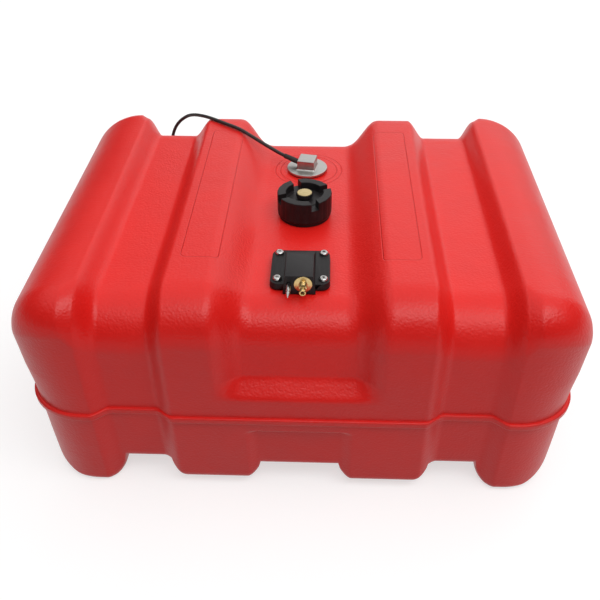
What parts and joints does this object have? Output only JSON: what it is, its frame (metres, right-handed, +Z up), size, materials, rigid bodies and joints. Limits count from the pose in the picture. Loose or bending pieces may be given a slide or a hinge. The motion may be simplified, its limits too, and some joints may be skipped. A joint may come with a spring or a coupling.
{
  "type": "fuel tank",
  "caption": "Ribbed red plastic fuel tank with strap grooves, a screw filler cap with vent, a fuel pickup with nipple and a level sender on a cable.",
  "frame": {"origin": "on the ground, under the middle of the tank", "axes": "+X across the ribs along the tank's length, -Y the front where the fuel nipple points, +Z up"},
  "size_m": [0.6024, 0.5597, 0.2766],
  "materials": {
    "tank_plastic": "fine pebbled moulding grain, satin",
    "black_plastic": "satin moulded",
    "pale_plastic": "smooth extruded",
    "float_foam": "closed-cell foam rubber",
    "black_rubber": "matt",
    "cable_jacket": "smooth satin jacket",
    "brass": "turned, slightly dull",
    "stainless": "bright turned",
    "zinc_plate": "zinc plated, satin"
  },
  "bodies": {
    "tank": {"tank_shell": "tank_plastic", "pickup_housing": "black_plastic", "pickup_gasket": "black_rubber", "pickup_screw_1": "stainless", "pickup_screw_2": "stainless", "pickup_screw_3": "stainless", "pickup_screw_4": "stainless", "screw_insert_1": "brass", "screw_insert_2": "brass", "screw_insert_3": "brass", "screw_insert_4": "brass", "fuel_nipple": "brass", "nipple_seal": "black_rubber", "valve_spring": "stainless", "locating_pin": "stainless", "pickup_tube": "pale_plastic", "pickup_strainer": "black_plastic", "sender_plug": "zinc_plate", "sender_gasket": "black_rubber", "sender_insert": "brass", "sender_stem": "pale_plastic", "float_stop": "pale_plastic", "cable_boot": "black_rubber", "sender_cable": "cable_jacket", "cable_coil": "cable_jacket", "coil_tie": "black_plastic", "plug_boot": "black_rubber", "cable_plug": "black_plastic", "plug_contact_1": "brass", "plug_contact_2": "brass"},
    "cap_lift": {"cap_gasket": "black_rubber"},
    "cap": {"filler_cap": "black_plastic"},
    "vent_lift": {"vent_seal": "black_rubber"},
    "vent": {"vent_knob": "black_plastic", "vent_screw": "brass"},
    "valve": {"valve_poppet": "stainless"},
    "float": {"sender_float": "float_foam"}
  },
  "joints": [
    {"name": "cap_rise", "type": "slide", "parent": "tank", "child": "cap_lift", "axis": [0, 0, 1], "range_m": [0, 0.0165]},
    {"name": "cap_turn", "type": "hinge", "parent": "cap_lift", "child": "cap", "pos_m": [0, -0.0103, 0.261], "axis": [0, 0, 1], "range_deg": [0, 1080]},
    {"name": "vent_rise", "type": "slide", "parent": "cap", "child": "vent_lift", "axis": [0, 0, 1], "range_m": [0, 0.002]},
    {"name": "vent_turn", "type": "hinge", "parent": "vent_lift", "child": "vent", "pos_m": [0, -0.0103, 0.27], "axis": [0, 0, 1], "range_deg": [0, 720]},
    {"name": "valve_push", "type": "slide", "parent": "tank", "child": "valve", "axis": [0, 1, 0], "range_m": [0, 0.0025], "stiffness_N_per_m": 800, "springref_m": -0.002, "deforming": ["valve_spring"]},
    {"name": "float_rise", "type": "slide", "parent": "tank", "child": "float", "axis": [0, 0, 1], "range_m": [0, 0.154]}
  ],
  "couplings": [
    {"joint": "cap_rise", "follows": "cap_turn", "m_per_rad": 0.00087535},
    {"joint": "vent_rise", "follows": "vent_turn", "m_per_rad": 0.00015915}
  ]
}
